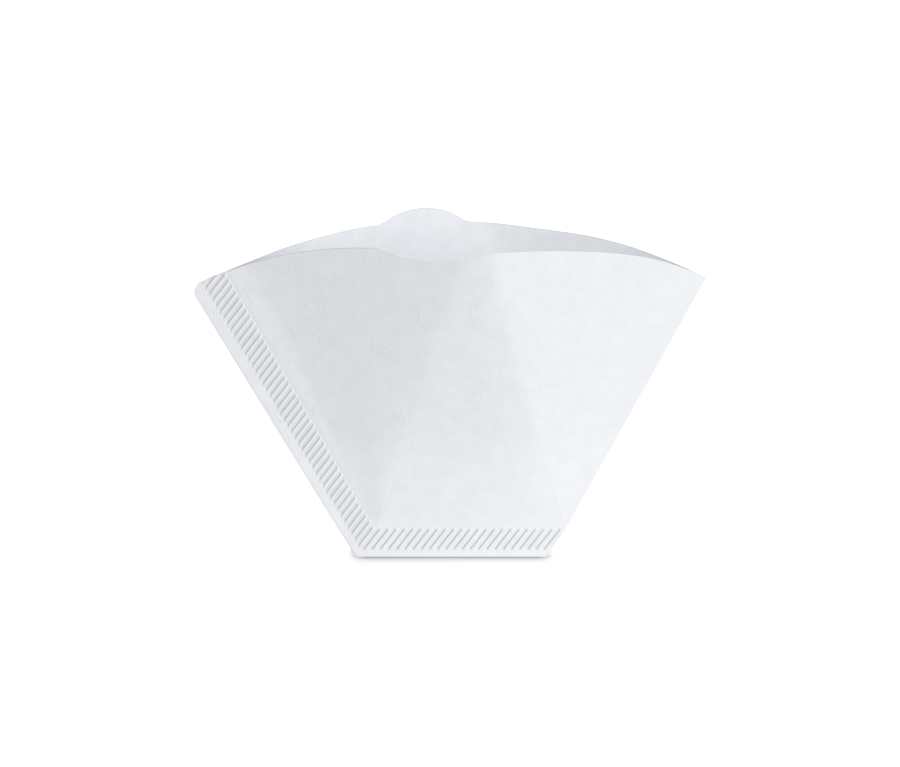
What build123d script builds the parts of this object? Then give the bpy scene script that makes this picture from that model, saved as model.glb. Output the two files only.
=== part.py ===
from build123d import *
import math
import os

# A cone coffee filter: one sheet of paper, doubled over a fold on its right side and crimped shut
# along its left side and its bottom. It has been opened a little by hand, so its mouth is a lens.
# Lengths are millimetres and angles are degrees.
# The sheet is drawn in its seam plane, X to the right, Y up to the mouth, Z out of the front panel,
# with X = 0 below the middle of the rim and Y = 0 at the bottom edge, and is laid down at the end.

# Paper
layer = 0.2             # thickness of the sheet
fold_wall = 0.3         # paper between the pocket and the outside of the fold

# Outline, as seen square to the seam plane
bottom_width = 61.2     # bottom edge, up to the fold line
bottom_centre = -1.4    # X of the middle of the bottom edge
seam_angle = 31.0       # lean of the crimped side away from Y
fold_angle = 28.55      # lean of the folded side away from Y
fold_nip = 1.3          # how far the crimp draws the bottom of the fold inwards
corner_radius = 3.5     # top corner at the seam
heel_radius = 2.2       # bottom corner at the seam
rim_height = 102.5      # middle of the rim above the bottom edge
rim_half_width = 90.0   # half width over which the rim curve is drawn
rim_fall = 20.1         # how far the rim has dropped at that half width

# Thumb notch in the front panel and tab on the back panel
notch_centre = -8.8
notch_depth = 3.5
notch_radius = 46.0
notch_blend = 10.0
tab_centre = -10.4
tab_height = 4.5
tab_radius = 20.0
tab_blend = 3.0

# Crimped seams
side_margin = 3.6       # plain paper outside the crimps of the side seam
side_crimp = 7.1        # width of the crimps of the side seam
side_rest = 0.9         # plain paper between them and the pocket
bottom_margin = 2.5     # plain paper below the crimps of the bottom seam
bottom_crimp = 6.15     # width of the crimps of the bottom seam
bottom_rest = 0.3       # plain paper between them and the pocket
crimp_angle = 37.4      # lean of the crimps away from Y, towards the fold
crimp_pitch = 2.05
crimp_height = 0.3
crimp_flat = 0.75       # width of the top of a crimp
crimp_slope = 0.3       # width of each flank of a crimp

# Open mouth: one panel's section, drawn across the tip of the tab. It starts gently at the seam and
# at the fold, bends, and rises straight from both sides to a rounded crest.
tab_clearance = 1.0     # the mouth is drawn this far above the tab
seam_start = 2.5        # slope at which the panels part at the seam
seam_start_width = 9.6  # width of that gentle start, up to the bend
seam_bend = 45.0        # radius of the bend beside the seam
seam_side_rise = 19.3   # slope of the panel up to the crest, on the seam side
crest_radius = 12.0
fold_side_fall = 23.2   # slope of the panel down from the crest, on the fold side
fold_bend = 60.0        # radius of the bend beside the fold
fold_start_width = 19.0  # width of the gentle start at the fold
fold_start = 6.0        # slope at which the panels part at the fold


def away(start, reach, angle):
    """Return the point that lies this far from a start, along an angle from X."""
    turn = math.radians(angle)
    return (start[0] + reach * math.cos(turn), start[1] + reach * math.sin(turn))


def meeting(start, angle, other, other_angle):
    """Return where the line from a start along an angle meets the line from another point."""
    turn, other_turn = math.radians(angle), math.radians(other_angle)
    across = (other[0] - start[0]) * math.sin(other_turn)
    up = (other[1] - start[1]) * math.cos(other_turn)
    return away(start, (across - up) / math.sin(other_turn - turn), angle)


# Places that several parts share
seam_slope = math.tan(math.radians(seam_angle))
fold_slope = math.tan(math.radians(fold_angle))
seam_foot = bottom_centre - bottom_width / 2
fold_foot = bottom_centre + bottom_width / 2
pocket_floor = bottom_margin + bottom_crimp + bottom_rest
pocket_inset = (side_margin + side_crimp + side_rest) / math.cos(math.radians(seam_angle))
fold_inset = fold_wall / math.cos(math.radians(fold_angle))
mouth_level = rim_height + tab_height + tab_clearance
over_all = mouth_level + tab_clearance


def seam_side(level, inset=0.0):
    """Return the X of the crimped side's edge at a level, or of a line inside it."""
    return seam_foot - seam_slope * level + inset


def fold_side(level, inset=0.0):
    """Return the X of the fold at a level, or of a line inside it."""
    return fold_foot + fold_slope * level - inset


# Outline of the doubled sheet below the rim
with BuildSketch() as blank:
    with BuildLine():
        Polyline(
            (seam_foot, 0),
            (fold_foot - fold_nip, 0),
            (fold_side(pocket_floor), pocket_floor),
            (fold_side(over_all), over_all),
            (seam_side(over_all), over_all),
            close=True,
        )
    make_face()
    fillet(blank.vertices().sort_by_distance((seam_foot, 0))[0], heel_radius)

# The rim: flat in the middle, where the panels lean out, and falling to both sides
with BuildSketch() as below_rim:
    with BuildLine():
        seam_rim = Bezier(
            (0, rim_height),
            (-rim_half_width / 3, rim_height),
            (-2 * rim_half_width / 3, rim_height),
            (-rim_half_width, rim_height - rim_fall),
        )
        fold_rim = Bezier(
            (0, rim_height),
            (rim_half_width / 3, rim_height),
            (2 * rim_half_width / 3, rim_height),
            (rim_half_width, rim_height - rim_fall),
        )
        Polyline(seam_rim @ 1, (-rim_half_width, 0), (rim_half_width, 0), fold_rim @ 1)
    make_face()

with BuildSketch() as plain_outline:
    add(blank.sketch)
    add(below_rim.sketch, mode=Mode.INTERSECT)
    seam_corner = plain_outline.vertices().filter_by_position(Axis.Y, pocket_floor, over_all)
    fillet(seam_corner.sort_by(Axis.X)[0], corner_radius)

with BuildSketch() as front_outline:
    add(plain_outline.sketch)
    with Locations((notch_centre, rim_height - notch_depth + notch_radius)):
        Circle(notch_radius, mode=Mode.SUBTRACT)
    notch_ends = front_outline.vertices().sort_by_distance((notch_centre, rim_height))[:2]
    fillet(notch_ends, notch_blend)

with BuildSketch() as back_outline:
    add(plain_outline.sketch)
    with Locations((tab_centre, rim_height + tab_height - tab_radius)):
        Circle(tab_radius)
    tab_ends = back_outline.vertices().sort_by_distance((tab_centre, rim_height))[:2]
    fillet(tab_ends, tab_blend)

# Half of the mouth, above the seam plane. The two rises meet in a peak, which the crest rounds off.
half_turn = 180
seam_part = (seam_side(mouth_level, pocket_inset), 0)
fold_part = (fold_side(mouth_level, fold_inset), 0)
seam_knee = away(seam_part, seam_start_width / math.cos(math.radians(seam_start)), seam_start)
fold_knee = away(fold_part, fold_start_width / math.cos(math.radians(fold_start)), half_turn - fold_start)
peak = meeting(seam_knee, seam_side_rise, fold_knee, half_turn - fold_side_fall)
peak_to_centre = crest_radius / math.cos(math.radians((seam_side_rise + fold_side_fall) / 2))
crest_centre = away(peak, -peak_to_centre, (half_turn + seam_side_rise - fold_side_fall) / 2)
crest_place = crest_centre[0]
half_gap = crest_centre[1] + crest_radius
crest_foot = (crest_place, 0)
crest_top = (crest_place, half_gap)
seam_shoulder = away(crest_centre, crest_radius, half_turn / 2 + seam_side_rise)
fold_shoulder = away(crest_centre, crest_radius, half_turn / 2 - fold_side_fall)

mouth_plane = Plane.XZ.offset(-mouth_level)


def half_mouth(side_part, knee, shoulder, bend, crest_from, crest_sweep):
    """Return the part of the mouth between the crest and the seam, or the crest and the fold."""
    with BuildSketch(mouth_plane) as half:
        with BuildLine():
            FilletPolyline(side_part, knee, shoulder, radius=bend)
            CenterArc(crest_centre, crest_radius, crest_from, crest_sweep)
            Polyline(crest_top, crest_foot, side_part)
        make_face()
    return half.sketch


seam_mouth = half_mouth(
    seam_part, seam_knee, seam_shoulder, seam_bend, half_turn / 2, seam_side_rise
)
fold_mouth = half_mouth(
    fold_part, fold_knee, fold_shoulder, fold_bend, half_turn / 2 - fold_side_fall, fold_side_fall
)

# The pocket above the seam plane. Bent paper keeps straight lines: those of the seam side all meet
# in one corner of the pocket's floor, those of the fold side in the other, and between them the
# panel is flat, a triangle from the floor up to the crest.
seam_corner_floor = Vertex(seam_side(pocket_floor, pocket_inset), pocket_floor, 0)
fold_corner_floor = Vertex(fold_side(pocket_floor, fold_inset), pocket_floor, 0)
crest_line = [mouth_plane.from_local_coords(Vector(*end)) for end in (crest_foot, crest_top)]
middle = Face(Wire.make_polygon([fold_corner_floor.center()] + crest_line))

with BuildPart() as pocket_half:
    loft([seam_corner_floor, seam_mouth], ruled=True)
    loft([fold_corner_floor, fold_mouth], ruled=True)
    loft([seam_corner_floor, middle], ruled=True)
pocket_above = pocket_half.part
pocket_raised = pocket_above.moved(Location((0, 0, layer)))


def bent_panel(outline):
    """Return one panel: the doubled sheet's outline, one layer thick, bent out over the pocket."""
    with BuildPart() as panel:
        add(outline)
        extrude(amount=layer)
        add(pocket_raised)
        with BuildSketch():
            add(outline)
        extrude(amount=half_gap + layer, mode=Mode.INTERSECT)
        add(pocket_above, mode=Mode.SUBTRACT)
    return panel.part


front_panel = bent_panel(front_outline.sketch)
back_panel = mirror(bent_panel(back_outline.sketch), about=Plane.XY)

# Crimps: both layers pressed together into ridges that stand out of the front and are grooves in
# the back. All run the same way, along the side seam and round its foot into the bottom seam.
crimp_turn = math.radians(crimp_angle)
crimp_run = Vector(math.sin(crimp_turn), math.cos(crimp_turn), 0)
crimp_row = Vector(math.cos(crimp_turn), -math.sin(crimp_turn), 0)
row_corners = [corner.center().dot(crimp_row) for corner in plain_outline.sketch.vertices()]
first_crimp = math.floor(min(row_corners) / crimp_pitch) - 1
last_crimp = math.ceil(max(row_corners) / crimp_pitch) + 1
crimp_reach = over_all + bottom_width

wave = []
for number in range(first_crimp, last_crimp):
    near = number * crimp_pitch
    wave.append((near, 0))
    wave.append((near + crimp_slope, crimp_height))
    wave.append((near + crimp_slope + crimp_flat, crimp_height))
    wave.append((near + 2 * crimp_slope + crimp_flat, 0))
front_wave = [(-place, rise + layer) for place, rise in wave]
back_wave = [(-place, rise - layer) for place, rise in reversed(wave)]

crimp_plane = Plane(-crimp_reach * crimp_run, x_dir=-crimp_row, z_dir=crimp_run)
with BuildPart() as crimps:
    with BuildSketch(crimp_plane):
        with BuildLine():
            Polyline(*front_wave, *back_wave, close=True)
        make_face()
    extrude(amount=2 * crimp_reach)

# The strip that the crimps fill, an L along the side seam and the bottom seam
side_outer = side_margin / math.cos(math.radians(seam_angle))
side_inner = (side_margin + side_crimp) / math.cos(math.radians(seam_angle))
crimp_top = bottom_margin + bottom_crimp
with BuildSketch() as crimp_strip:
    add(plain_outline.sketch)
    with BuildLine(mode=Mode.PRIVATE) as strip_outline:
        Polyline(
            (seam_side(bottom_margin, side_outer), bottom_margin),
            (fold_side(over_all), bottom_margin),
            (fold_side(over_all), crimp_top),
            (seam_side(crimp_top, side_inner), crimp_top),
            (seam_side(over_all, side_inner), over_all),
            (seam_side(over_all, side_outer), over_all),
            close=True,
        )
    make_face(strip_outline.edges(), mode=Mode.INTERSECT)

with BuildPart() as strip:
    add(crimp_strip.sketch)
    extrude(amount=half_gap, both=True)

# The sheet in its seam plane
with BuildPart() as sheet:
    add(front_panel)
    add(back_panel)
    add(strip.part, mode=Mode.SUBTRACT)
    add(crimps.part.intersect(strip.part))

# Laid down on its back panel: the bottom edge and the crest of the back panel's rim touch the table
crest_gap = half_gap * (rim_height - pocket_floor) / (mouth_level - pocket_floor)
lean = math.degrees(math.atan2(crest_gap, rim_height))
laid = sheet.part.rotate(Axis.X, lean)
room = laid.bounding_box()
with BuildPart() as filter_paper:
    add(laid.moved(Location((-room.center().X, -room.center().Y, -room.min.Z))))

os.makedirs("parts", exist_ok=True)
filter_paper.part.label = "filter_paper"
export_step(filter_paper.part, "parts/filter_paper.step")
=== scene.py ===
"""Cone coffee filter of one folded, crimped sheet of paper, lying on its back on a pale table."""

import logging
import math
from dataclasses import dataclass
from enum import Enum
from functools import cached_property, reduce

import bmesh
import bpy
import numpy as np
from mathutils import Matrix, Vector


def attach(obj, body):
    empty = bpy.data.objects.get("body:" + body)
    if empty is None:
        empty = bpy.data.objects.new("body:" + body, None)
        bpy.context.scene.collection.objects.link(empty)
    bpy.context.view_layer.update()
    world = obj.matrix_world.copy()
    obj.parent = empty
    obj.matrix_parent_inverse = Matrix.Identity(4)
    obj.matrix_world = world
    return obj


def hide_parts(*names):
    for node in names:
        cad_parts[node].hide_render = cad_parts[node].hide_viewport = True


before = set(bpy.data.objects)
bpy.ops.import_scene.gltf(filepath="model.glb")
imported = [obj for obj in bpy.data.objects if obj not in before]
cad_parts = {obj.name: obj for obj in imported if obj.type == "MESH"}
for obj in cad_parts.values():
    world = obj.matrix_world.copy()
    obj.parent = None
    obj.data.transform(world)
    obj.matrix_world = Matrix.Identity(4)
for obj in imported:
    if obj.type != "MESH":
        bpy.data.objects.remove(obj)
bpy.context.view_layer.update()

LOG = logging.getLogger("coffee_filter")
MM = 0.001            # metres in a millimetre
BEND_STEPS = 40       # points on the arc of a bend
TOUCH = 1e-6          # below this, a length or a share is none
MERGE = 0.001 * MM    # points that are this close are one
NO_AREA = 1e-14       # square metres below which a face has no area
HUMP = 4.0            # x * (1 - x) times this reaches 1

Array = np.ndarray
Socket = bpy.types.NodeSocket
Pair = tuple[float, float]
Floats = tuple[float, ...]


class Panel(Enum):
    """The two halves of the folded sheet, by the side of the seam plane that they bulge to."""

    FRONT = 1.0
    BACK = -1.0


def arc_drop(away: Array, radius: float) -> Array:
    """Return how far an arc has dropped at a distance from its top, and its whole radius beyond."""
    return radius - np.sqrt(radius**2 - np.minimum(away, radius) ** 2)


@dataclass(frozen=True)
class Outline:
    """Outline of the doubled sheet in its seam plane, in millimetres and degrees.

    X runs from the crimped side to the fold, with 0 below the middle of the rim, and Y from the
    bottom edge up to the mouth.
    """

    bottom_width: float = 61.2
    bottom_centre: float = -1.4
    seam_angle: float = 31.0
    fold_angle: float = 28.55
    fold_nip: float = 1.3
    nip_level: float = 8.95
    corner_radius: float = 3.5
    heel_radius: float = 2.2
    rim_height: float = 102.5
    rim_reach: float = 90.0
    rim_fall: float = 20.1
    notch_centre: float = -8.8
    notch_depth: float = 3.5
    notch_radius: float = 46.0
    notch_blend: float = 0.45
    tab_centre: float = -10.6
    tab_height: float = 4.5
    tab_radius: float = 21.0
    tab_blend: float = 1.4
    tab_flank: float = 2.0
    sway_margin: float = 6.0
    sway_fade: float = 12.0
    front_waves: tuple[tuple[float, float, float], ...] = (
        (-66.0, 8.0, -0.6), (-33.0, 9.0, 0.35), (-8.0, 12.0, -0.15), (36.0, 16.0, -0.42))
    back_waves: tuple[tuple[float, float, float], ...] = (
        (-66.0, 8.0, -0.6), (-27.5, 9.3, 0.8), (23.0, 12.0, -0.8), (55.0, 9.0, 0.1))

    @property
    def seam_slope(self) -> float:
        """Return how far the crimped side moves out for each unit of height."""
        return math.tan(math.radians(self.seam_angle))

    @property
    def fold_slope(self) -> float:
        """Return how far the fold moves out for each unit of height."""
        return math.tan(math.radians(self.fold_angle))

    @property
    def seam_foot(self) -> float:
        """Return the X of the crimped side's line at the bottom edge."""
        return self.bottom_centre - self.bottom_width / 2

    @property
    def fold_foot(self) -> float:
        """Return the X of the fold's line at the bottom edge."""
        return self.bottom_centre + self.bottom_width / 2

    def inward(self, lean: float) -> Array:
        """Return how the distance from the seam grows with X and Y, for a line that leans inward.

        The line lies at a distance from the seam's foot, and further in by lean for each
        millimetre up along the seam. On it, this times the way from the foot is that distance.
        """
        turn = math.radians(self.seam_angle)
        return np.array([math.cos(turn) + lean * math.sin(turn),
                         math.sin(turn) - lean * math.cos(turn)])

    def plain_rim(self, across: Array) -> Array:
        """Return the Y of the rim without notch or tab, falling with the cube of the way out."""
        return self.rim_height - self.rim_fall * np.abs(across / self.rim_reach) ** 3

    def rim(self, across: Array, panel: Panel) -> Array:
        """Height of one panel's rim: the plain rim, joined smoothly with an arc.

        The front takes the lower of the rim and the notch's arc, the back the higher of the rim
        and the tab's arc. Where both are closer than the blend b, the join is cut off by
        (b - difference)^2 / 4b. The edge then sways by bell curves of given middle, width and
        height.

        Args:
            across: X of the points.
            panel: the panel whose rim it is.

        Returns:
            Their Y.
        """
        plain = self.plain_rim(across)
        if panel is Panel.FRONT:
            away = np.abs(across - self.notch_centre)
            arc = self.rim_height - self.notch_depth + arc_drop(away, self.notch_radius)
            nearest, side, blend = np.minimum(plain, arc), -1.0, self.notch_blend
            waves = self.front_waves
        else:
            away = np.abs(across - self.tab_centre)
            arc = self.rim_height + self.tab_height - arc_drop(away, self.tab_radius)
            arc -= self.tab_flank * np.maximum(away - self.tab_radius, 0)
            nearest, side, blend = np.maximum(plain, arc), 1.0, self.tab_blend
            waves = self.back_waves
        sway = sum(high * np.exp(-((across - middle) / wide) ** 2 / 2)
                   for middle, wide, high in waves)
        inside = self.rim_reach - self.sway_margin - np.abs(across)
        sway = sway * np.clip(inside / self.sway_fade, 0, 1)
        join = np.maximum(blend - np.abs(plain - arc), 0) ** 2 / (4 * blend)
        return nearest + side * join + sway


def rounded(before: Array, corner: Array, after: Array, radius: float,
            steps: int) -> Array:
    """Points of the arc that rounds a corner between two straight edges.

    The arc leaves both edges at radius / tan(half the corner's angle) from the corner.

    Args:
        before: a point on the edge that comes in.
        corner: the sharp corner.
        after: a point on the edge that goes out.
        radius: of the arc.
        steps: number of points.

    Returns:
        The points, in order.
    """
    into = (before - corner) / np.linalg.norm(before - corner)
    out = (after - corner) / np.linalg.norm(after - corner)
    half = math.acos(float(np.dot(into, out))) / 2
    middle = (into + out) / np.linalg.norm(into + out)
    centre = corner + middle * radius / math.sin(half)
    first = corner + into * radius / math.tan(half) - centre
    last = corner + out * radius / math.tan(half) - centre
    start = math.atan2(first[1], first[0])
    turn = math.atan2(last[1], last[0]) - start
    turn = (turn + math.pi) % (2 * math.pi) - math.pi
    angles = start + turn * np.linspace(0, 1, steps)
    return centre + radius * np.stack([np.cos(angles), np.sin(angles)], axis=1)


@dataclass(frozen=True)
class Pocket:
    """The opened pocket: half the gap between the panels, in millimetres and degrees.

    The gap is a lens across the mouth. Bent paper keeps straight lines, so lower down it is that
    lens made smaller towards both corners of the floor, with a flat stretch under the crest.
    """

    outline: Outline
    floor: float = 9.2
    seam_inset: float = 9.58
    seam_lean: float = 0.026
    fold_wall: float = 0.3
    mouth_level: float = 108.0
    seam_start: float = 2.5
    seam_start_width: float = 8.38
    seam_bend: float = 45.0
    seam_side_rise: float = 19.3
    crest_radius: float = 12.0
    fold_side_fall: float = 23.2
    fold_bend: float = 60.0
    fold_start_width: float = 19.0
    fold_start: float = 6.0
    seam_spread: float = 6.0
    fold_spread: float = 34.0
    spread_steps: int = 12
    stretch_rulings: tuple[int, ...] = (5, 3, 3, 2)
    bend_stride: int = 9
    crest_stride: int = 2
    crest_clear: float = 0.3
    fan_rulings: int = 9
    back_round: float = 9.0
    back_steps: int = 1000
    sag: float = 0.6
    sag_blend: float = 0.3
    puff_height: float = 0.95
    puff_rise: float = 3.0
    puff_reach: float = 12.0
    puff_share: float = 20.0
    puff_loss: float = 0.5

    def seam_line(self, level: Array | float) -> Array | float:
        """Return the X of the pocket's edge beside the crimped seam, at a level."""
        inward = self.outline.inward(self.seam_lean)
        return self.outline.seam_foot + (self.seam_inset - inward[1] * level) / inward[0]

    def fold_line(self, level: Array | float) -> Array | float:
        """Return the X of the pocket's edge inside the fold, at a level."""
        inset = self.fold_wall / math.cos(math.radians(self.outline.fold_angle))
        return self.outline.fold_foot + self.outline.fold_slope * level - inset

    @cached_property
    def lens(self) -> Array:
        """Half of the mouth: gentle starts at the seam and the fold, and rises up to the crest.

        The rises go through the ends of the gentle starts and meet in a peak. All corners are arcs.

        Returns:
            Rows of X and half gap, from the seam to the fold.
        """
        start, rise, fall, end = (math.tan(math.radians(angle)) for angle in (
            self.seam_start, self.seam_side_rise, self.fold_side_fall, self.fold_start))
        seam_end = np.array([self.seam_line(self.mouth_level), 0.0])
        fold_end = np.array([self.fold_line(self.mouth_level), 0.0])
        seam_knee = seam_end + self.seam_start_width * np.array([1.0, start])
        fold_knee = fold_end + self.fold_start_width * np.array([-1.0, end])
        apart = fold_knee - seam_knee
        peak_way = (apart[1] + fall * apart[0]) / (rise + fall)
        peak = seam_knee + peak_way * np.array([1.0, rise])
        return np.concatenate([
            seam_end[None],
            rounded(seam_end, seam_knee, peak, self.seam_bend, BEND_STEPS),
            rounded(seam_knee, peak, fold_knee, self.crest_radius, BEND_STEPS),
            rounded(peak, fold_knee, fold_end, self.fold_bend, BEND_STEPS),
            fold_end[None],
        ])

    @cached_property
    def crest(self) -> Array:
        """Return the X and the half gap of the highest point of the lens."""
        return self.lens[int(np.argmax(self.lens[:, 1]))]

    @cached_property
    def back_lens(self) -> Array:
        """The back's half of the mouth: as high as the front's, with a rounder crest.

        The lens is averaged over a cosine bell and made as high as before.

        Returns:
            Rows of X and half gap, from the seam to the fold.
        """
        across = np.linspace(self.lens[0, 0], self.lens[-1, 0], self.back_steps)
        step = across[1] - across[0]
        reach = int(2 * self.back_round / step)
        bell = 1 + np.cos(np.linspace(-math.pi, math.pi, 2 * reach + 1))
        plain = np.interp(across, *self.lens.T)
        padded = np.concatenate([-plain[reach:0:-1], plain, -plain[-2:-reach - 2:-1]])
        smooth = np.convolve(padded, bell / bell.sum(), "valid")
        return np.stack([across, smooth * self.crest[1] / smooth.max()], axis=1)

    def rulings(self) -> tuple[Array, Array]:
        """Lines from the floor to the lens, along which the mesh is drawn, from seam to fold.

        They lie close together on the arcs of the lens and further apart on its four straight
        stretches. Those in the middle fan out below the crest.

        Returns:
            X of their feet on the floor and of their heads on the lens.
        """
        across = self.lens[:, 0]
        seam_bend, crest, fold_bend = (across[1 + n * BEND_STEPS:1 + (n + 1) * BEND_STEPS]
                                       for n in range(3))
        top = self.crest[0]
        before = crest[crest < top - self.crest_clear]
        after = crest[crest > top + self.crest_clear]
        ends = ((across[0], seam_bend[0]), (seam_bend[-1], crest[0]),
                (crest[-1], fold_bend[0]), (fold_bend[-1], across[-1]))
        seam_start, seam_rise, fold_rise, fold_start = (
            np.linspace(*pair, count + 2)[1:-1] for pair, count in zip(ends, self.stretch_rulings))
        seam_side = np.concatenate([seam_start, seam_bend[::self.bend_stride], seam_rise,
                                    before[::self.crest_stride], [top]])
        fold_side = np.concatenate([after[::self.crest_stride], fold_rise,
                                    fold_bend[::self.bend_stride], fold_start])
        seam_corner, fold_corner = self.seam_line(self.floor), self.fold_line(self.floor)
        middle = np.linspace(seam_corner + self.seam_spread, fold_corner, self.fan_rulings)
        feet = np.concatenate([np.full(len(seam_side), seam_corner), middle,
                               np.full(len(fold_side), fold_corner)])
        heads = np.concatenate([seam_side, np.full(len(middle), top), fold_side])
        return feet, heads

    def gap(self, across: Array, level: Array, panel: Panel) -> Array:
        """Half the gap between the panels anywhere on the sheet.

        Real paper spreads the creases between the crest and the corners of the floor, so this is
        the mean of gaps whose corners lie ever further inside. With s the share of the way up, its
        top sags by sag * s * (1 - s)^3 of the crest, with a smooth join, and comes back by s^6.
        Beside the crimps the paper puffs up, with d the distance from them, by puff_height *
        (1 - exp(-d / puff_rise)) * exp(-d / puff_reach), less near the mouth, by puff_loss * s^4.

        Args:
            across: X of the points.
            level: Y of the points.
            panel: the panel, each with its own lens.

        Returns:
            The half gap, 0 outside the pocket.
        """
        share = (level - self.floor) / (self.mouth_level - self.floor)
        lens = self.lens if panel is Panel.FRONT else self.back_lens
        total = np.zeros_like(share)
        for step in (np.arange(self.spread_steps) + 0.5) / self.spread_steps:
            seam_corner = self.seam_line(self.floor) + self.seam_spread * step
            fold_corner = self.fold_line(self.floor) - self.fold_spread * step**2
            total += self.cone_gap(across, share, seam_corner, fold_corner, lens)
        cones = total / self.spread_steps
        inside = np.clip(share, 0, 1)
        top = self.crest[1] * (share - self.sag * inside * (1 - inside) ** 3)
        top = np.maximum(top, 0)
        blend = self.sag_blend * (1 - inside)
        apart = np.sqrt((cones - top) ** 2 + blend**2 * cones * top)
        kept = np.where(inside < 1, (cones + top - apart) / 2, cones)
        kept += (cones - kept) * inside**6
        away = (across - self.seam_line(level)) * math.cos(math.radians(self.outline.seam_angle))
        away = np.maximum(away, 0)
        puff = self.puff_height * (1 - np.exp(-away / self.puff_rise))
        puff *= np.exp(-away / self.puff_reach) * np.clip(inside * self.puff_share, 0, 1)
        puff *= 1 - self.puff_loss * inside**4
        return np.where(share > 0, kept + puff, 0.0)

    def cone_gap(self, across: Array, share: Array, seam_corner: float,
                 fold_corner: float, lens: Array) -> Array:
        """Half the gap with both cones drawn to given corners on the floor.

        With s the share of the way up, a point seen from its side's corner lies on the lens at
        corner + (X - corner) / s, and the gap is s times the lens there. Between the two crest
        lines it is s times the crest.

        Args:
            across: X of the points.
            share: of the way up to the mouth.
            seam_corner: X of the corner beside the seam.
            fold_corner: X of the corner beside the fold.
            lens: rows of X and half gap at the mouth.

        Returns:
            The half gap.
        """
        lens_x, lens_gap = lens.T
        safe = np.maximum(share, TOUCH)
        crest, highest = lens[int(np.argmax(lens_gap))]
        crest_from_seam = seam_corner + (crest - seam_corner) * share
        crest_from_fold = fold_corner + (crest - fold_corner) * share
        seam_view = np.interp(seam_corner + (across - seam_corner) / safe, lens_x, lens_gap)
        fold_view = np.interp(fold_corner + (across - fold_corner) / safe, lens_x, lens_gap)
        height = np.where(across < crest_from_seam, seam_view,
                          np.where(across > crest_from_fold, fold_view, highest))
        return np.where(share > 0, share * height, 0.0)


@dataclass(frozen=True)
class Crimps:
    """The crimped strip along the side seam and the bottom seam, in millimetres and degrees."""

    outline: Outline
    side_bounds: Pair = (2.35, 9.53)
    side_lean: Pair = (0.0175, 0.026)
    bottom_bounds: Pair = (2.2, 9.15)
    angle: float = 37.4
    pitch: float = 2.05
    height: float = 0.34
    sunk: float = 0.08
    crown: float = 0.04
    rise: float = 0.3
    fall: float = 0.42
    taper: float = 0.38

    @property
    def run(self) -> Array:
        """Return the direction of the crimps in the seam plane."""
        turn = math.radians(self.angle)
        return np.array([math.sin(turn), math.cos(turn)])

    @property
    def row(self) -> Array:
        """Return the direction across the crimps in the seam plane."""
        turn = math.radians(self.angle)
        return np.array([math.cos(turn), -math.sin(turn)])

    def profile(self, place: Array) -> Array:
        """Section of the crimps: rounded ridges with a steep rise, a softer fall and a flat valley.

        Both flanks are half a cosine wave, over the shares rise and fall of the pitch.

        Args:
            place: distance across the crimps.

        Returns:
            Height above the plain paper.
        """
        phase = (place / self.pitch - self.crown + 0.5) % 1.0 - 0.5
        up = np.clip(-phase / self.rise, 0, 1)
        down = np.clip(phase / self.fall, 0, 1)
        wave = (1 + np.cos(math.pi * np.where(phase < 0, up, down))) / 2
        return self.height * wave - self.sunk

    def crossing(self, place: Array, side: float, lean: float, bottom: float) -> Array:
        """Where a line along the crimps enters the area inside both edges by given distances.

        Args:
            place: distance across the crimps, which names the line.
            side: distance from the side edge at its foot.
            lean: how much that distance grows for each millimetre up along the edge.
            bottom: distance from the bottom edge.

        Returns:
            The way along the crimps.
        """
        start = place[:, None] * self.row
        inward = self.outline.inward(lean)
        foot = np.array([self.outline.seam_foot, 0.0])
        return np.maximum((side - (start - foot) @ inward) / (self.run @ inward),
                          (bottom - start[:, 1]) / self.run[1])


class Face(Enum):
    """The faces of the doubled sheet: a panel, and whether it is the inside of the pocket."""

    FRONT_OUT = (Panel.FRONT, False)
    FRONT_IN = (Panel.FRONT, True)
    BACK_OUT = (Panel.BACK, False)
    BACK_IN = (Panel.BACK, True)


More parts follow.
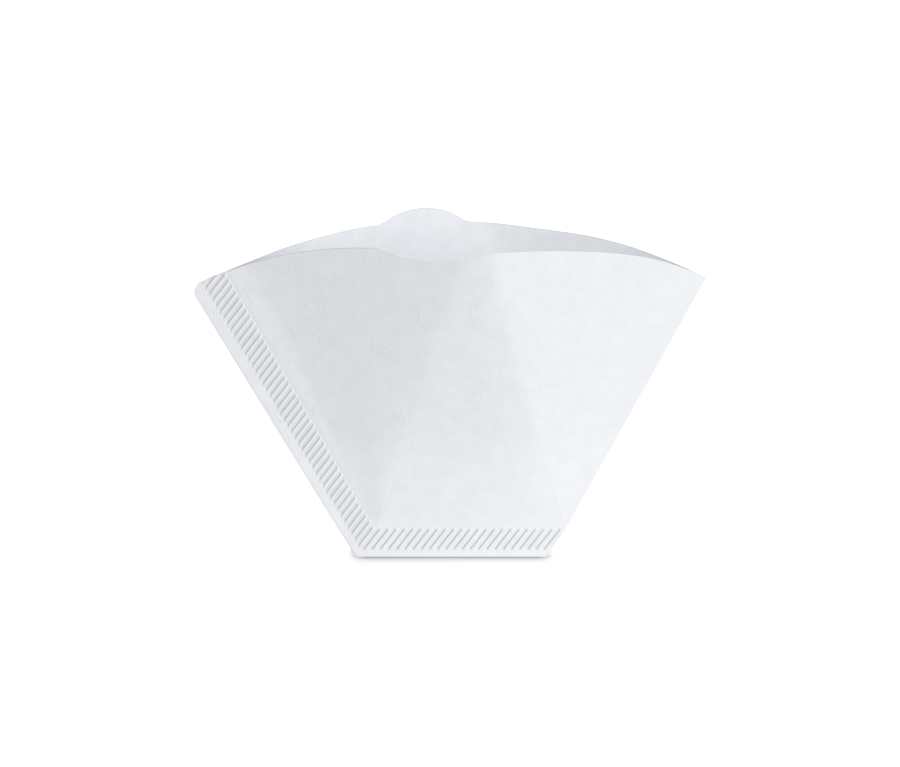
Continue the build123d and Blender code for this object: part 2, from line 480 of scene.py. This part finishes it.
@dataclass(frozen=True)
class FilterSheet:
    """The whole sheet as one closed mesh, on grids whose lines follow the crimps.

    A line of a grid is named by its place across the crimps, and a point on it by its way along
    them. Lines enter through the crimped side or the bottom edge and leave through the rim or the
    fold. The blank is the unfolded sheet: its width is twice the longest way over a panel from the
    fold to the seam, and its length runs along the fold. Sizes are millimetres and degrees.
    """

    outline: Outline
    pocket: Pocket
    crimps: Crimps
    layer: float = 0.2
    steps_per_crimp: int = 9
    start_lines: int = 13
    start_steps: int = 6
    end_lines: int = 4
    end_steps: int = 1
    rim_steps: int = 1200
    corner_search: tuple[float, float, int] = (0.7, 1.0, 400)
    margin_shares: Floats = (0.0, 0.5, 0.9)
    crimp_shares: Floats = (0.0, 0.03, 0.06, 0.1, 0.3, 0.5, 0.7, 0.9, 0.94, 0.97)
    rest_shares: Floats = (0.0, 0.5)
    edge_lifts: Floats = (0.5, 0.2, 0.0, -0.2, -0.5)
    edge_dips: Floats = (0.0, 0.0, 0.1, 0.0, 0.0)
    fold_turns: Floats = (55.0, 18.0, -18.0, -55.0)
    fold_round: float = 0.12
    least_gap: float = 0.01
    # The painted shade inside the pocket: how fast it fades with the gap and how strong it is, from
    # the seam side to the fold side.
    pocket_shade_gaps: Pair = (3.2, 7.0)
    pocket_shade_shares: Pair = (1.0, 0.8)
    pocket_shade_ends: Pair = (10.0, 40.0)
    no_edge: float = 9.0
    # Darkness of the painted shade along the cut edges; below 0 it is a painted highlight, as along
    # the bottom edge.
    side_edge_shade: float = 0.8
    bottom_edge_highlight: float = -0.3
    front_rim_shade: tuple[Floats, Floats] = (
        (-80.0, -30.0, -22.0, 8.0, 12.0), (1.0, 1.0, 0.35, 0.35, 0.0))
    back_rim_shade: tuple[Floats, Floats] = ((-80.0, 80.0), (0.45, 0.45))
    blank_width: float = 283.0
    blank_length: float = 132.0
    blank_area: float = 24440.0

    def edges(self, panel: Panel) -> tuple[Array, Array]:
        """The outline of one panel as two paths from the seam's top corner to the fold's foot.

        Args:
            panel: the panel, with its notch or its tab.

        Returns:
            The path down the seam and along the bottom, and the path along the rim and down the
            fold, as rows of place across the crimps and way along them.
        """
        shape = self.outline
        reach = np.linspace(*self.corner_search) * shape.rim_reach
        left, right = ((reach - foot) / slope - shape.plain_rim(reach) for foot, slope in (
            (-shape.seam_foot, shape.seam_slope), (shape.fold_foot, shape.fold_slope)))
        corner_x = -float(np.interp(0, left, reach))
        tip_x = float(np.interp(0, right, reach))
        corner, ahead = (np.array([x, float(shape.plain_rim(np.array(x)))])
                         for x in (corner_x, corner_x + shape.corner_radius))
        seam_foot = np.array([shape.seam_foot, 0.0])
        toe = np.array([shape.fold_foot - shape.fold_nip, 0.0])
        nip = np.array([shape.fold_foot + shape.fold_slope * shape.nip_level, shape.nip_level])
        top = rounded(seam_foot, corner, ahead, shape.corner_radius, 3 * BEND_STEPS)
        heel = rounded(corner, seam_foot, toe, shape.heel_radius, BEND_STEPS)
        rim_x = np.linspace(top[-1, 0], tip_x, self.rim_steps)
        rim = np.stack([rim_x, shape.rim(rim_x, panel)], axis=1)
        first = int(np.argmin(top @ self.crimps.row))
        entry = np.concatenate([top[first::-1], heel, toe[None]])
        leave = np.concatenate([top[first:], rim[1:], nip[None], toe[None]])
        turn = np.stack([self.crimps.row, self.crimps.run], axis=1)
        return entry @ turn, leave @ turn

    @cached_property
    def tip_place(self) -> float:
        """Return the place across the crimps of the corner between the rim and the fold."""
        return float(self.edges(Panel.FRONT)[1][-3, 0])

    @cached_property
    def places(self) -> Array:
        """Places of the grid's lines: even ones that repeat with the crimps, closer at both ends.

        Returns:
            The places, in order, one of them at the corner between the rim and the fold.
        """
        low, high = self.edges(Panel.FRONT)[0][[0, -1], 0]
        step = self.crimps.pitch / self.steps_per_crimp
        even = step * np.arange(math.ceil(low / step + self.start_steps),
                                math.floor(high / step - self.end_steps))
        close = low + (even[0] - low) * np.linspace(0, 1, self.start_lines + 1)[:-1] ** 2
        end = high - (high - even[-1]) * np.linspace(1, 0, self.end_lines + 1)[1:]
        places = np.concatenate([close, even, end])
        places[int(np.argmin(np.abs(places - self.tip_place)))] = self.tip_place
        return places

    def ways(self, face: Face) -> Array:
        """Ways along every line: shares of the margin and the crimps, then the pocket's rulings.

        Args:
            face: an inside starts at the pocket's edge.

        Returns:
            One row of ways for each line.
        """
        panel, inner = face.value
        start, stop = (np.interp(self.places, *path.T) for path in self.edges(panel))
        stops = [start]
        for bounds in self.seam_bounds():
            stops.append(np.clip(self.crimps.crossing(self.places, *bounds), start, stop))
        seam_edge = stops[-1][:, None]
        end = self.pocket_end(stop) if inner else stop
        end = np.maximum(end, stops[-1])[:, None]
        rulings = np.clip(self.ruling_ways(), seam_edge, end)
        rulings = np.concatenate([seam_edge, rulings, end], axis=1)
        if inner:
            return rulings
        shares = (self.margin_shares, self.crimp_shares, self.rest_shares)
        rows = [a[:, None] + (b - a)[:, None] * np.array(share)
                for a, b, share in zip(stops[:-1], stops[1:], shares)]
        return np.concatenate([*rows, rulings], axis=1)

    def ruling_ways(self) -> Array:
        """Where the lines cross the straight lines that the bent paper keeps.

        A ruling runs from a corner of the pocket's floor to a point of the lens at the mouth. A
        line through place * row with direction run meets it where both have one X at one level.

        Returns:
            One row of ways for each line, in the order from the seam to the fold.
        """
        pocket, run, row = self.pocket, self.crimps.run, self.crimps.row
        foot, head = pocket.rulings()
        slope = (head - foot) / (pocket.mouth_level - pocket.floor)
        across, level = (self.places[:, None] * part for part in row)
        return (foot + slope * (level - pocket.floor) - across) / (run[0] - slope * run[1])

    def seam_bounds(self) -> list[tuple[float, float, float]]:
        """Return how far inside both edges the crimps start and end, and the pocket starts."""
        c = self.crimps
        return [*zip(c.side_bounds, c.side_lean, c.bottom_bounds),
                (self.pocket.seam_inset, self.pocket.seam_lean, self.pocket.floor)]

    def pocket_end(self, stop: Array) -> Array:
        """Where the lines leave the pocket: at the rim, or inside the fold by its wall.

        Args:
            stop: way at which each leaves the sheet.

        Returns:
            The ways.
        """
        level = np.array([0.0, self.pocket.mouth_level])
        fold = np.stack([self.pocket.fold_line(level), level], axis=1)
        fold_place, fold_way = fold @ self.crimps.row, fold @ self.crimps.run
        across = np.interp(self.places, fold_place[::-1], fold_way[::-1])
        return np.where(self.places < self.tip_place, stop, np.minimum(stop, across))

    def fade(self, ways: Array) -> Array:
        """How much of the crimps' profile there is: 1 in the strip, with a soft step at both ends.

        Args:
            ways: ways along each line.

        Returns:
            The share, one row for each line.
        """
        start, end = (self.crimps.crossing(self.places, *bounds)[:, None]
                      for bounds in self.seam_bounds()[:2])
        share = np.clip(np.minimum(ways - start, end - ways) / self.crimps.taper, 0, 1)
        return share * share * (3 - 2 * share)

    def surface(self, face: Face, ways: Array) -> Array:
        """Points of one face, in the seam plane's frame.

        The face stands off the seam plane by the half gap, plus one layer outside, and the crimps
        lift the front and the back alike.

        Args:
            face: the face.
            ways: ways along each line.

        Returns:
            Points by line and way.
        """
        panel, inner = face.value
        flat = self.places[:, None, None] * self.crimps.row + ways[:, :, None] * self.crimps.run
        gap = self.pocket.gap(flat[..., 0], flat[..., 1], panel)
        if inner:
            opened = ways - ways[:, :1] > TOUCH
            past = self.places >= self.tip_place
            opened[past] &= ways[past, -1:] - ways[past] > TOUCH
            gap = np.where(opened, np.maximum(gap, self.least_gap), 0.0)
            height = panel.value * gap
        else:
            relief = self.fade(ways) * self.crimps.profile(self.places)[:, None]
            height = panel.value * (gap + self.layer) + relief
        return np.concatenate([flat, height[..., None]], axis=2)

    def pocket_shade(self, block: Array) -> Array:
        """Painted shade inside the pocket, from how far it is closed off: exp(-half gap / g), where
        g grows towards the fold.

        Args:
            block: points of one inner face.

        Returns:
            1 where the panels meet, down to 0.
        """
        reach = np.interp(block[..., 0], self.pocket_shade_ends, self.pocket_shade_gaps)
        share = np.interp(block[..., 0], self.pocket_shade_ends, self.pocket_shade_shares)
        return share * np.exp(-np.abs(block[..., 2]) / reach)

    def edge_values(self, face: Face, ways: Array, across: Array) -> tuple[Array, Array]:
        """How far every point lies from the cut edge on its line, and how dark the painted shade
        along that edge is drawn.

        Args:
            face: the face.
            ways: ways along each line.
            across: X of the points.

        Returns:
            The distances and the darkness of the painted shade from 0 to 1, or below 0 for the
            painted highlight along the bottom edge.
        """
        panel, inner = face.value
        has_rim = (self.places < self.tip_place)[:, None]
        to_rim = np.where(has_rim, ways[:, -1:] - ways, self.no_edge)
        to_start = ways - ways[:, :1] + (self.no_edge if inner else 0.0)
        marks, tones = self.front_rim_shade if panel is Panel.FRONT else self.back_rim_shade
        rim_shade = np.interp(across, marks, tones)
        foot = np.array([self.outline.seam_foot, 0.0]) @ self.crimps.row
        start_shade = np.where(self.places < foot, self.side_edge_shade, self.bottom_edge_highlight)[:, None]
        nearer = to_start < to_rim
        return np.where(nearer, to_start, to_rim), np.where(nearer, start_shade, rim_shade)

    def points_and_faces(self) -> tuple[Array, list[tuple[int, ...]], dict[str, Array]]:
        """All points and faces, in the seam plane's frame.

        The faces are four grids, the cut edge with a fine groove between the layers, the rims, the
        rounded fold and one small face at each of its ends and at the seam's top corner.

        Returns:
            The points, the faces, and values for every point: strip is 1 in the crimps, place
            counts the crimps, edge is the distance from the cut edge, line is how dark the painted
            shade along that edge is drawn, and pocket_shade is the painted shade inside, 1 where
            the panels meet, falling as the pocket opens.
        """
        tip = int(np.argmin(np.abs(self.places - self.tip_place)))
        blocks: list[Array] = []
        notes: dict[str, list[Array]] = {
            "strip": [], "place": [], "edge": [], "line": [], "pocket_shade": []}
        faces: list[Array] = []

        def put(block: Array, **given: Array) -> Array:
            """Store a grid of points and their values, else 0, and return their numbers."""
            first = sum(b.shape[0] * b.shape[1] for b in blocks)
            blocks.append(block)
            given["place"] = block[..., :2] @ self.crimps.row / self.crimps.pitch
            for name, kept in notes.items():
                kept.append(np.broadcast_to(given.get(name, 0.0), block.shape[:2]))
            return first + np.arange(block.shape[0] * block.shape[1]).reshape(block.shape[:2])

        def join(numbers: Array) -> None:
            """Cover a grid of numbered points with four-sided faces."""
            a, b = numbers[:-1, :-1], numbers[1:, :-1]
            c, d = numbers[1:, 1:], numbers[:-1, 1:]
            faces.append(np.stack([a, b, c, d], axis=-1).reshape(-1, 4))

        numbers = {}
        for face in Face:
            ways = self.ways(face)
            block = self.surface(face, ways)
            # Inner faces carry the painted shade of the pocket, outer ones the crimps' strip.
            own = {"pocket_shade": self.pocket_shade(block)} if face.value[1] else {"strip": self.fade(ways)}
            edge, line = self.edge_values(face, ways, block[..., 0])
            numbers[face] = put(block, edge=edge, line=line, **own)
            join(numbers[face])
        front_out, front_in, back_out, back_in = (numbers[face] for face in Face)
        front, _, back, _ = blocks

        def bridge(rows: slice, column: int, lifts: Array, pushes: Array,
                   angle: float) -> Array:
            """Join both outsides by points moved up by shares and along an angle by distances."""
            ahead, behind = front[rows, column], back[rows, column]
            middle, half = (ahead + behind) / 2, (ahead - behind) / 2
            way = np.array([math.cos(math.radians(angle)), math.sin(math.radians(angle)), 0.0])
            strip = put(middle[:, None] + half[:, None] * lifts[:, None] + pushes[:, None] * way)
            join(np.column_stack([front_out[rows, column], strip, back_out[rows, column]]))
            return strip

        cut = bridge(slice(None), 0, np.array(self.edge_lifts), np.array(self.edge_dips),
                     self.outline.seam_angle)
        upto = slice(None, tip + 1)
        join(np.column_stack([front_out[upto, -1], front_in[upto, -1]]))
        join(np.column_stack([back_in[upto, -1], back_out[upto, -1]]))
        turn = np.radians(self.fold_turns)
        round_fold = bridge(slice(tip, None), -1, np.sin(turn),
                            self.fold_round * (np.cos(turn) - 1), -self.outline.fold_angle)

        points = np.concatenate([b.reshape(-1, 3) for b in blocks])
        values = {name: np.concatenate([n.reshape(-1) for n in many])
                  for name, many in notes.items()}
        ends = [(front_out[tip, -1], *round_fold[0], back_out[tip, -1], front_in[tip, -1]),
                (front_out[0, 0], *cut[0], back_out[0, 0], front_in[0, -1]),
                (front_out[-1, 0], *cut[-1], back_out[-1, 0], *round_fold[-1][::-1])]
        listed = [tuple(int(n) for n in row) for row in (*np.concatenate(faces), *ends)]
        return points, listed, values


@dataclass(frozen=True)
class Rest:
    """How the sheet lies: the seam plane leans so that the back crest and the bottom edge touch."""

    lean: float = 14.318
    shift_x: float = 2.2937
    bottom_y: float = -54.642
    thickness: float = 0.2

    def place(self, points: Array) -> Array:
        """Turn points of the seam plane's frame about X and set them on the table.

        Args:
            points: millimetres in the seam plane's frame.

        Returns:
            Metres in the world.
        """
        turn = math.radians(self.lean)
        x = points[:, 0] + self.shift_x
        cos, sin = math.cos(turn), math.sin(turn)
        y = self.bottom_y + points[:, 1] * cos - points[:, 2] * sin
        z = self.thickness * cos + points[:, 1] * sin + points[:, 2] * cos
        return np.stack([x, y, z], axis=1) * MM


def shown(name: str, data: bpy.types.ID) -> bpy.types.Object:
    """Return a new object with this data, linked into the scene."""
    made = bpy.data.objects.new(name, data)
    bpy.context.scene.collection.objects.link(made)
    return made


@dataclass
class Graph:
    """Short calls for building a material's nodes."""

    made: bpy.types.Material

    def add(self, kind: str, settings: dict | None = None, **inputs: object) -> bpy.types.Node:
        """Add a node and set or link its inputs.

        Args:
            kind: type of the node.
            settings: properties of the node itself.
            inputs: by the input's name, with _ for a space; a socket is linked, a value is set.

        Returns:
            The node.
        """
        node = self.made.node_tree.nodes.new(kind)
        for name, value in (settings or {}).items():
            setattr(node, name, value)
        for name, value in inputs.items():
            socket = node.inputs[int(name[1:]) if name[1:].isdigit() else name.replace("_", " ")]
            if isinstance(value, bpy.types.NodeSocket):
                self.made.node_tree.links.new(value, socket)
            else:
                socket.default_value = value
        return node

    @cached_property
    def place(self) -> Socket:
        """Return the socket of the object coordinates, in metres."""
        return self.add("ShaderNodeTexCoord").outputs["Object"]

    @cached_property
    def parts(self) -> bpy.types.NodeOutputs:
        """Return the sockets of X, Y and Z of the object coordinates."""
        return self.add("ShaderNodeSeparateXYZ", Vector=self.place).outputs

    def math(self, operation: str, first: object, second: object = 0.0) -> Socket:
        """Return the socket of an operation on two values."""
        return self.add("ShaderNodeMath", {"operation": operation}, i0=first, i1=second).outputs[0]

    def times(self, *values: object) -> Socket:
        """Return the socket of the product of some values."""
        return reduce(lambda first, second: self.math("MULTIPLY", first, second), values)

    def plus(self, *values: object) -> Socket:
        """Return the socket of the sum of some values."""
        return reduce(lambda first, second: self.math("ADD", first, second), values)

    def less(self, value: object) -> Socket:
        """Return the socket of what a value lacks to 1."""
        return self.math("SUBTRACT", 1.0, value)

    def value(self, name: str) -> Socket:
        """Return the socket of a value that every point of the mesh carries."""
        return self.add("ShaderNodeAttribute", {"attribute_name": name}).outputs["Fac"]

    def noise(self, place: Socket, scale: float, detail: float = 2.0, bend: float = 0.0) -> Socket:
        """Return the socket of a noise from 0 to 1."""
        return self.add("ShaderNodeTexNoise", Vector=place, Scale=scale, Detail=detail,
                        Distortion=bend).outputs["Fac"]

    def step(self, value: object, low: float, high: float, start: float = 0.0,
             end: float = 1.0) -> Socket:
        """Return a soft step from start to end while the value goes from low to high."""
        return self.add("ShaderNodeMapRange", {"interpolation_type": "SMOOTHSTEP"}, i0=value,
                        i1=low, i2=high, i3=start, i4=end).outputs[0]

    def ramp(self, value: object, tones: Floats) -> Socket:
        """Return a smooth curve through evenly spaced tones that begins again at 1.

        Args:
            value: from 0 to 1.
            tones: at the middles of as many equal shares of that range.

        Returns:
            The tone at the value.
        """
        node = self.add("ShaderNodeValToRGB", Fac=value)
        node.color_ramp.interpolation = "CARDINAL"
        seam = (tones[0] + tones[-1]) / 2
        places = (np.arange(len(tones)) + 0.5) / len(tones)
        for at, tone in zip(places, tones):
            node.color_ramp.elements.new(float(at)).color = (tone, tone, tone, 1.0)
        for end in (0, -1):
            node.color_ramp.elements[end].color = (seam, seam, seam, 1.0)
        return node.outputs["Color"]


@dataclass(frozen=True)
class PaperFinish:
    """Uncoated white paper: matt, a little cloudy, with short fibres, and painted shade and
    highlights on the crimps and cut edges, painted shade inside the pocket and painted light
    towards the bottom edge.
    """

    white: tuple[float, float, float] = (0.853, 0.87, 0.896)
    roughness: float = 0.95
    shine: float = 0.1
    # Painted shade and highlight across one crimp, for the side strip and the bottom strip, which
    # the light meets differently.
    side_crimp_shades: Floats = (0.92, 1.03, 1.11, 1.03, 0.87, 0.9, 0.9, 0.81, 0.665, 0.79)
    bottom_crimp_shades: Floats = (0.985, 1.01, 1.01, 0.99, 0.98, 0.99, 0.98, 0.84, 0.61, 0.8)
    bottom_places: Pair = (-14.0, -10.0)
    wobble: float = 0.05
    wobble_scale: float = 400.0
    # Painted highlights at the ends of the crimps' dark lines.
    end_highlight: float = 0.14
    end_highlight_tone: float = 0.7
    # Painted shade along the cut edges.
    edge_shade: float = 0.2
    edge_ends: Pair = (0.15, 0.5)
    # Painted shade inside the pocket where the panels come close.
    pocket_shade_dark: float = 0.28
    cloud_scale: float = 190.0
    cloud_detail: float = 5.0
    cloud_cut: Pair = (0.3, 0.7)
    cloud_share: float = 0.016
    fibre_angles: Floats = (62.0, 35.0, 95.0)
    fibre_size: tuple[float, float, float] = (2.2, 0.4, 1.0)
    fibre_shift: float = 0.3
    fibre_bend: float = 0.5
    fibre_detail: float = 1.0
    fibre_cut: Pair = (0.57, 0.72)
    fibre_height: float = 0.000053
    fibre_light: float = 0.045
    # Painted light: the paper is drawn a little lighter towards the bottom edge, where the table
    # throws light back.
    bottom_bounce_light: float = 0.02
    smooth_share: float = 0.45
    smooth_from: Pair = (-0.03, -0.012)
    smooth_beside: Pair = (0.015, 0.06)
    patch_scale: float = 160.0
    patch_cut: Pair = (0.4, 0.6)
    grain_scale: float = 1500.0
    grain_share: float = 0.4
    cockle_scale: float = 250.0
    cockle_detail: float = 3.0
    cockle_share: float = 0.5

    def material(self) -> bpy.types.Material:
        """Build the node material, all patterns in object space.

        Returns:
            The material.
        """
        made = bpy.data.materials.new("matt_filter_paper")
        made.use_nodes = True
        made.node_tree.nodes.clear()
        graph = Graph(made)
        # Painted shade along the cut edges, and a painted highlight along the bottom edge.
        line = graph.times(graph.value("line"), graph.step(graph.value("edge"), *self.edge_ends,
                                                           self.edge_shade, 0.0))
        # Painted shade inside the pocket.
        pocket_shade = graph.times(graph.value("pocket_shade"), self.pocket_shade_dark)
        fibres = graph.plus(*(self.fibres(graph, angle, self.fibre_shift * count)
                              for count, angle in enumerate(self.fibre_angles)))
        grain = graph.times(graph.noise(graph.place, self.grain_scale), self.grain_share)
        cockle = graph.times(graph.noise(graph.place, self.cockle_scale, self.cockle_detail),
                             self.cockle_share)
        rough = graph.times(
            graph.step(graph.parts["Y"], *self.smooth_from, self.smooth_share, 1.0),
            graph.step(graph.parts["X"], *self.smooth_beside, 1.0, self.smooth_share))
        # Painted light, a little lighter towards the bottom edge.
        low = graph.step(graph.parts["Y"], *self.smooth_from, 1 + self.bottom_bounce_light, 1.0)
        height = graph.times(graph.plus(fibres, graph.plus(grain, cockle)), rough)
        bump = graph.add("ShaderNodeBump", Strength=1.0, Distance=self.fibre_height,
                         Height=height).outputs[0]
        light = graph.plus(1.0, graph.times(fibres, rough, self.fibre_light))
        tone = graph.times(self.clouds(graph), self.crimp_shading(graph), graph.less(line),
                           graph.less(pocket_shade), low, light)
        colour = graph.add("ShaderNodeVectorMath", {"operation": "SCALE"}, i0=self.white,
                           Scale=tone).outputs[0]
        paper = graph.add("ShaderNodeBsdfPrincipled", Base_Color=colour, Normal=bump,
                          Roughness=self.roughness, Specular_IOR_Level=self.shine)
        graph.add("ShaderNodeOutputMaterial", Surface=paper.outputs[0])
        return made

    def fibres(self, graph: Graph, angle: float, shift: float) -> Socket:
        """Height of short fibres that lie one way: stretched noise, cut to thin streaks.

        Args:
            graph: of the material.
            angle: of the fibres, from X towards -Y.
            shift: metres by which this layer is moved away from the first.

        Returns:
            0 between the fibres to 1 on them.
        """
        turned = graph.add("ShaderNodeMapping", Vector=graph.place, Location=(shift, shift, 0.0),
                           Rotation=(0.0, 0.0, math.radians(angle))).outputs[0]
        long = graph.add("ShaderNodeVectorMath", {"operation": "MULTIPLY"}, i0=turned,
                         i1=tuple(1 / (size * MM) for size in self.fibre_size)).outputs[0]
        fibre = graph.noise(long, 1.0, self.fibre_detail, self.fibre_bend)
        patch = graph.noise(turned, self.patch_scale)
        return graph.times(graph.step(fibre, *self.fibre_cut), graph.step(patch, *self.patch_cut))

    def clouds(self, graph: Graph) -> Socket:
        """Return the uneven density of the paper, around 1."""
        noise = graph.noise(graph.place, self.cloud_scale, self.cloud_detail)
        return graph.step(noise, *self.cloud_cut, 1 - self.cloud_share, 1 + self.cloud_share)

    def crimp_shading(self, graph: Graph) -> Socket:
        """Painted shade and highlight across every crimp: the side and the bottom, which the light
        meets differently, have their own, with painted highlights at the ends.

        Args:
            graph: of the material.

        Returns:
            The share of the paper's own white, 1 outside the crimps.
        """
        count, strip = graph.value("place"), graph.value("strip")
        noise = graph.noise(graph.place, self.wobble_scale)
        shift = graph.times(graph.math("SUBTRACT", noise, 0.5), 2 * self.wobble)
        phase = graph.math("FRACT", graph.plus(count, shift))
        side, bottom = (graph.ramp(phase, tones) for tones in (self.side_crimp_shades, self.bottom_crimp_shades))
        share = graph.step(count, *self.bottom_places)
        tone = graph.add("ShaderNodeMix", Factor=share, A=side, B=bottom).outputs["Result"]
        dark = graph.times(graph.less(tone), strip)
        # Painted highlights at both ends of the crimps' dark lines.
        deep = graph.step(tone, self.end_highlight_tone, 1.0, HUMP * self.end_highlight, 0.0)
        ends = graph.times(strip, graph.less(strip), deep)
        return graph.less(graph.math("SUBTRACT", dark, ends))


@dataclass
class FilterPaper:
    """The visible sheet: mesh, finish and the part that it stands for."""

    sheet: FilterSheet
    rest: Rest
    finish: PaperFinish
    sharp: float = 40.0

    def build(self) -> bpy.types.Object:
        """Make the object in world space, riding on the part's body.

        Returns:
            The object.
        """
        points, faces, values = self.sheet.points_and_faces()
        mesh = bpy.data.meshes.new("paper_sheet")
        mesh.from_pydata(self.rest.place(points).tolist(), [], faces)
        for name, row in values.items():
            mesh.attributes.new(name, "FLOAT", "POINT").data.foreach_set("value", row)
        self.close(mesh)
        piece = shown("paper_sheet", mesh)
        mesh.materials.append(self.finish.material())
        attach(piece, "root")
        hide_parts("filter_paper")
        return piece

    def close(self, mesh: bpy.types.Mesh) -> None:
        """Merge the seams between the grids, drop loose edges and points and shade by angle.

        Args:
            mesh: changed in place.
        """
        work = bmesh.new()
        work.from_mesh(mesh)
        bmesh.ops.remove_doubles(work, verts=work.verts, dist=MERGE)
        flat = sum(f.calc_area() < NO_AREA for f in work.faces)
        LOG.info("%d faces without area", flat)
        for kind, parts in (("EDGES", work.edges), ("VERTS", work.verts)):
            bmesh.ops.delete(work, geom=[p for p in parts if not p.link_faces], context=kind)
        bmesh.ops.recalc_face_normals(work, faces=work.faces)
        opened = sum(not e.is_manifold for e in work.edges)
        LOG.info("%d faces, %d edges that aren't shared by two", len(work.faces), opened)
        work.to_mesh(mesh)
        work.free()
        mesh.shade_smooth()
        mesh.set_sharp_from_angle(angle=math.radians(self.sharp))


@dataclass(frozen=True)
class Lamp:
    """A round lamp: watts, degrees above the table and round from X, millimetres away and across.

    The size is the radius of its ball.
    """

    name: str
    power: float
    height: float
    side: float
    distance: float
    size: float

    def build(self) -> None:
        """Hang the lamp in its place around the middle of the table."""
        light = bpy.data.lights.new(self.name, "POINT")
        light.energy = self.power
        light.shadow_soft_size = self.size * MM
        height, side = math.radians(self.height), math.radians(self.side)
        flat = math.cos(height)
        way = Vector((flat * math.cos(side), flat * math.sin(side), math.sin(height)))
        shown(self.name, light).location = way * self.distance * MM


@dataclass(frozen=True)
class Studio:
    """White table, soft light from all sides, three lamps and a camera that looks down."""

    look_at: tuple[float, float, float] = (-0.1, -0.74, 13.9)
    tilt: float = 2.32
    distance: float = 4000.0
    view_width: float = 282.3
    sensor: float = 36.0
    clip_end: float = 20.0
    ambient: float = 0.614
    lamps: tuple[Lamp, ...] = (Lamp("key", 3.42, 40.0, 75.0, 500.0, 100.0),
                               Lamp("fill", 0.548, 42.0, -60.0, 280.0, 80.0),
                               Lamp("side", 50.6, 40.0, 0.0, 3000.0, 600.0))
    floor_half: float = 1.5
    floor_colour: tuple[float, float, float, float] = (0.85, 0.85, 0.85, 1.0)
    lift: float = 0.6
    # A painted contact shadow along the bottom edge.
    contact_y: float = -54.6
    contact_ends: Pair = (-29.5, 30.5)
    contact_fade: float = 3.5
    contact_dark: float = 0.7
    contact_reach: float = 1.0
    contact_power: float = 1.15
    contact_least: float = 0.02
    over_white: float = 1.42

    def build(self) -> None:
        """Make the floor, the world, the lamps and the camera."""
        self.floor()
        self.world()
        for lamp in self.lamps:
            lamp.build()
        self.camera()

    def floor(self) -> None:
        """Lay a matt floor that is white to the camera, keeps the object's shadow and carries a
        painted contact shadow.
        """
        half = self.floor_half
        mesh = bpy.data.meshes.new("floor")
        mesh.from_pydata([(-half, -half, 0), (half, -half, 0), (half, half, 0), (-half, half, 0)],
                         [], [(0, 1, 2, 3)])
        made = bpy.data.materials.new("floor")
        made.use_nodes = True
        made.node_tree.nodes.clear()
        graph = Graph(made)
        shade = self.contact(graph)
        matt = graph.add("ShaderNodeBsdfDiffuse", Color=self.floor_colour).outputs[0]
        lift = graph.add("ShaderNodeEmission", Strength=self.lift).outputs[0]
        lit = graph.add("ShaderNodeAddShader", i0=matt, i1=lift).outputs[0]
        dark = graph.add("ShaderNodeEmission", Strength=0.0).outputs[0]
        both = graph.add("ShaderNodeMixShader", i0=shade, i1=lit, i2=dark).outputs[0]
        camera_ray = graph.add("ShaderNodeLightPath").outputs["Is Camera Ray"]
        seen = graph.add("ShaderNodeMixShader", i0=camera_ray, i1=matt, i2=both).outputs[0]
        graph.add("ShaderNodeOutputMaterial", Surface=seen)
        mesh.materials.append(made)
        plane = shown("floor", mesh)

    def contact(self, graph: Graph) -> Socket:
        """Painted contact shadow: a dark line where the bottom edge stands on the table.

        With d the distance from the edge, the table shows white times 1 - contact_dark *
        exp(-(d / contact_reach)^contact_power), fading at both ends. It is over_white times
        brighter than white where nothing shades it, which is taken off as well.

        Args:
            graph: of the floor's material.

        Returns:
            The share of darkness.
        """
        across, level = (graph.times(graph.parts[axis], 1 / MM) for axis in "XY")
        away = graph.math("SUBTRACT", self.contact_y, level)
        far = graph.math("DIVIDE", graph.math("ABSOLUTE", away), self.contact_reach)
        near = graph.math("POWER", 1 / math.e, graph.math("POWER", far, self.contact_power))
        start, end = self.contact_ends
        fade = self.contact_fade
        dark = graph.times(near, graph.step(across, start - fade, start + fade),
                           graph.step(across, end - fade, end + fade, 1.0, 0.0), self.contact_dark)
        kept = graph.math("DIVIDE", graph.less(dark), self.over_white)
        return graph.times(graph.less(kept), graph.step(dark, 0.0, self.contact_least))

    def world(self) -> None:
        """Light the scene evenly from all sides."""
        world = bpy.data.worlds.new("world")
        world.use_nodes = True
        light = world.node_tree.nodes["Background"].inputs
        light["Color"].default_value = (1, 1, 1, 1)
        light["Strength"].default_value = self.ambient
        bpy.context.scene.world = world

    def camera(self) -> None:
        """Look straight down on the sheet, tilted a little towards the bottom edge."""
        tilt = math.radians(self.tilt)
        toward = Vector((0, -math.sin(tilt), math.cos(tilt)))
        up = Vector((0, math.cos(tilt), math.sin(tilt)))
        data = bpy.data.cameras.new("camera")
        data.sensor_width = self.sensor
        data.lens = self.sensor * self.distance / self.view_width
        data.clip_end = self.clip_end
        eye = shown("camera", data)
        right = up.cross(toward)
        turn = Matrix((right, up, toward)).transposed().to_4x4()
        turn.translation = (Vector(self.look_at) + toward * self.distance) * MM
        eye.matrix_world = turn
        bpy.context.scene.camera = eye
        bpy.context.scene.view_settings.view_transform = "Standard"


def main() -> None:
    """Build the sheet and the studio, and report the pieces."""
    logging.basicConfig(level=logging.INFO, format="%(name)s: %(message)s")
    outline = Outline()
    pocket = Pocket(outline)
    sheet = FilterSheet(outline, pocket, Crimps(outline))
    piece = FilterPaper(sheet, Rest(), PaperFinish()).build()
    Studio().build()
    LOG.info("%s: %d faces", piece.name, len(piece.data.polygons))


if __name__ == "__main__":
    main()
